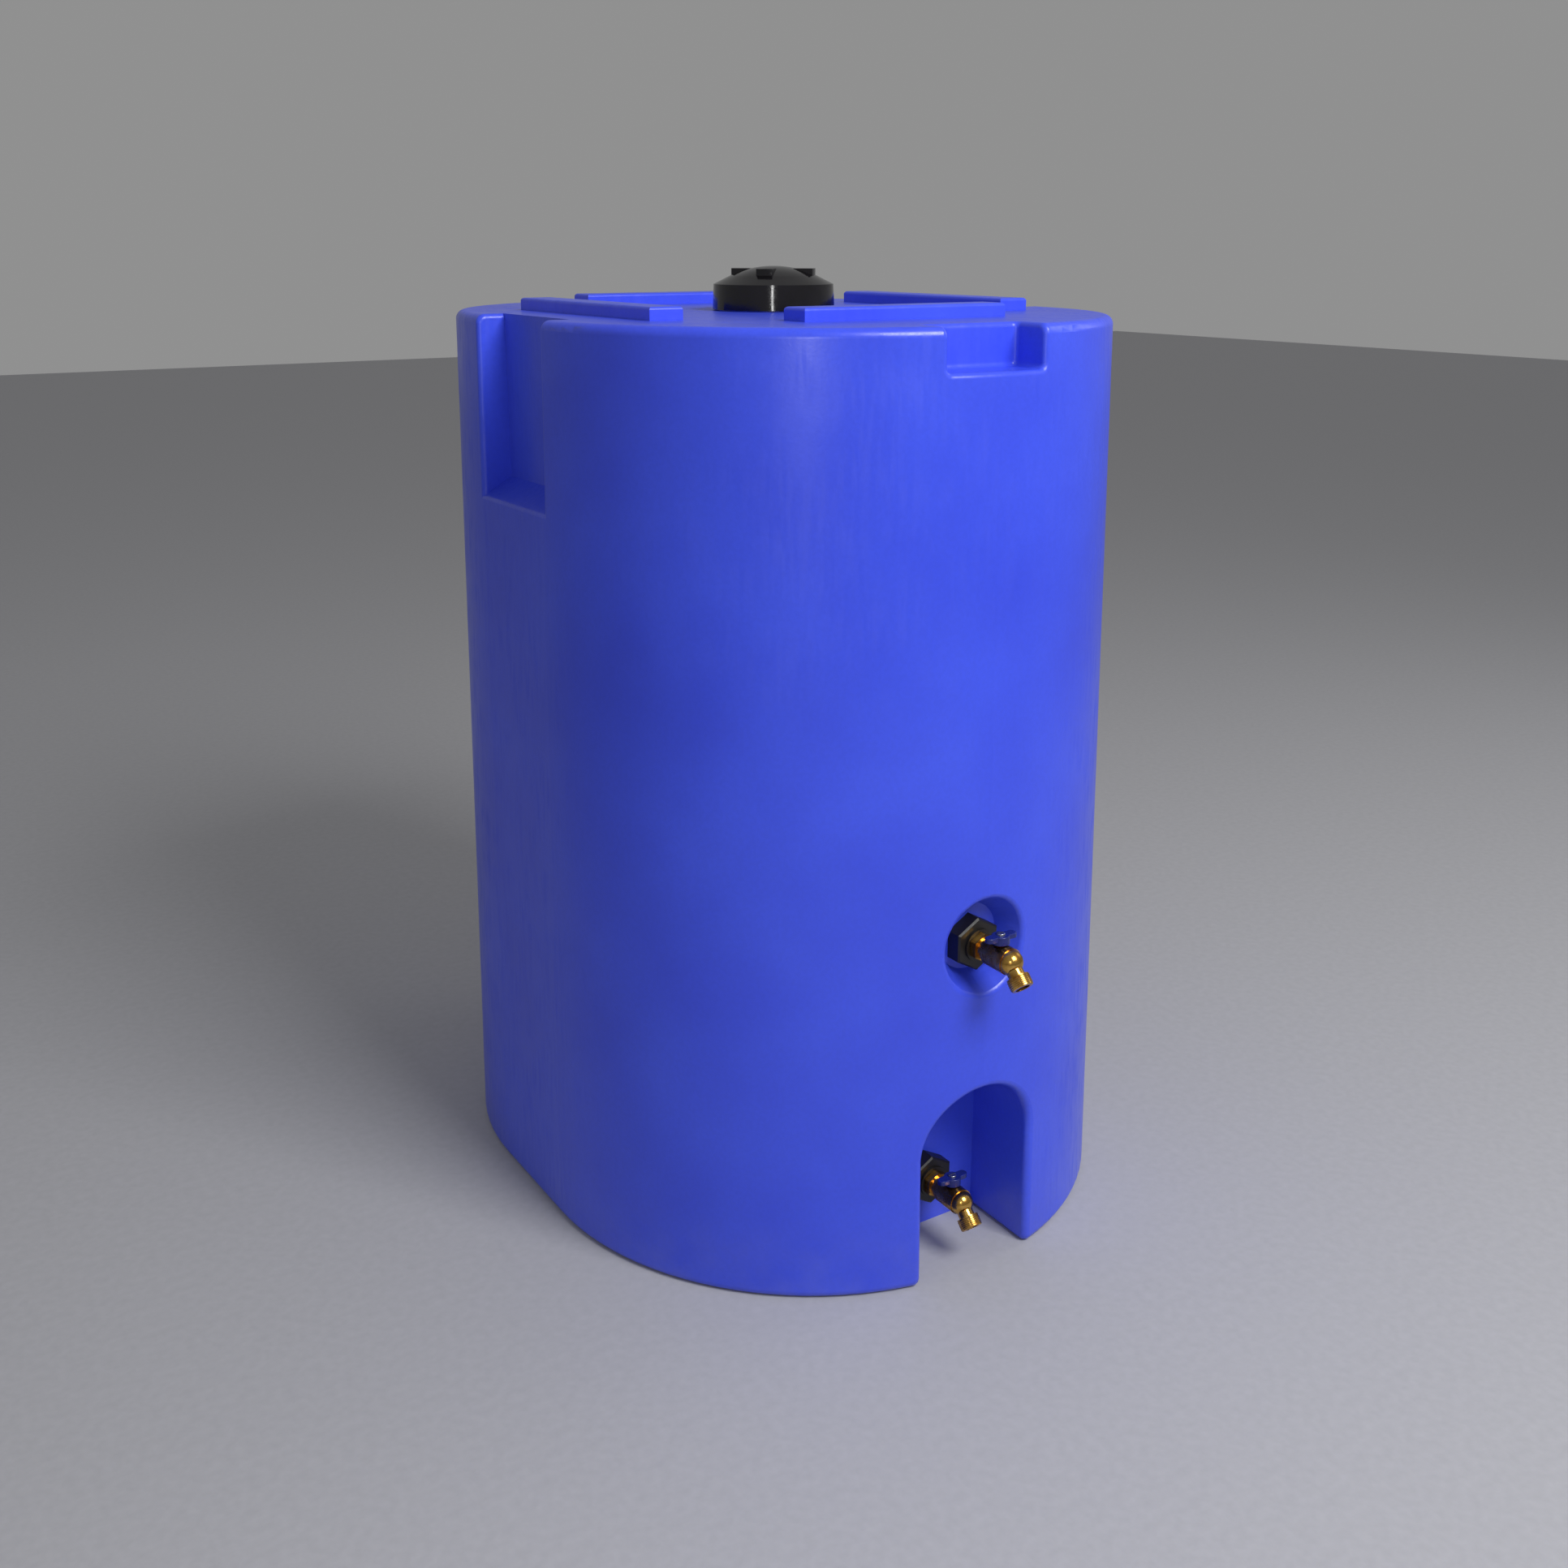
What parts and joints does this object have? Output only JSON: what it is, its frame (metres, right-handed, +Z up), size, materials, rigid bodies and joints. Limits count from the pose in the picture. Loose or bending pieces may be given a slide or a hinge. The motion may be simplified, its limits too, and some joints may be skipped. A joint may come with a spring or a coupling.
{
  "type": "stackable water storage tank",
  "caption": "Upright stackable plastic water tank with a screw lid, stacking ribs, hand pockets and two quarter-turn taps.",
  "frame": {"origin": "on the floor, midway across the base and midway front to back of the moulding", "axes": "+Z up, the taps and the lower notch face -Y, +X to the right seen from the front"},
  "size_m": [0.7616, 0.9999, 1.179],
  "materials": {
    "tank_blue": "rotomoulded polyethylene, satin",
    "lid_black": "injection moulded, glossy",
    "fitting_black": "glass-filled, matte",
    "seal_rubber": "moulded rubber",
    "brass": "forged and machined",
    "ball_chrome": "polished",
    "ptfe": "turned, waxy white",
    "handle_blue": "enamelled",
    "screw_steel": "zinc plated"
  },
  "bodies": {
    "tank": {"tank_shell": "tank_blue", "lower_ball_seats": "ptfe", "lower_bulkhead_body": "fitting_black", "lower_bulkhead_gasket": "seal_rubber", "lower_bulkhead_nut": "fitting_black", "lower_packing_nut": "brass", "lower_stem_seal": "ptfe", "lower_tap_body": "brass", "lower_tap_outlet": "brass", "upper_ball_seats": "ptfe", "upper_bulkhead_body": "fitting_black", "upper_bulkhead_gasket": "seal_rubber", "upper_bulkhead_nut": "fitting_black", "upper_packing_nut": "brass", "upper_stem_seal": "ptfe", "upper_tap_body": "brass", "upper_tap_outlet": "brass"},
    "lid_seal": {"lid_gasket": "seal_rubber"},
    "lid": {"lid": "lid_black"},
    "lower_valve": {"lower_tap_ball": "ball_chrome", "lower_valve_stem": "brass", "lower_tap_handle": "handle_blue", "lower_handle_screw": "screw_steel"},
    "upper_valve": {"upper_tap_ball": "ball_chrome", "upper_valve_stem": "brass", "upper_tap_handle": "handle_blue", "upper_handle_screw": "screw_steel"}
  },
  "joints": [
    {"name": "lower_tap_turn", "type": "hinge", "parent": "tank", "child": "lower_valve", "pos_m": [0, -0.41, 0.072], "axis": [0, 0, 1], "range_deg": [0, 90]},
    {"name": "upper_tap_turn", "type": "hinge", "parent": "tank", "child": "upper_valve", "pos_m": [0, -0.483, 0.422], "axis": [0, 0, 1], "range_deg": [0, 90]},
    {"name": "lid_rise", "type": "slide", "parent": "tank", "child": "lid_seal", "axis": [0, 0, 1], "range_m": [0, 0.0271]},
    {"name": "lid_turn", "type": "hinge", "parent": "lid_seal", "child": "lid", "pos_m": [0, 0, 1.125], "axis": [0, 0, 1], "range_deg": [0, 1080]}
  ],
  "couplings": [
    {"joint": "lid_rise", "follows": "lid_turn", "m_per_rad": 0.0014324}
  ]
}
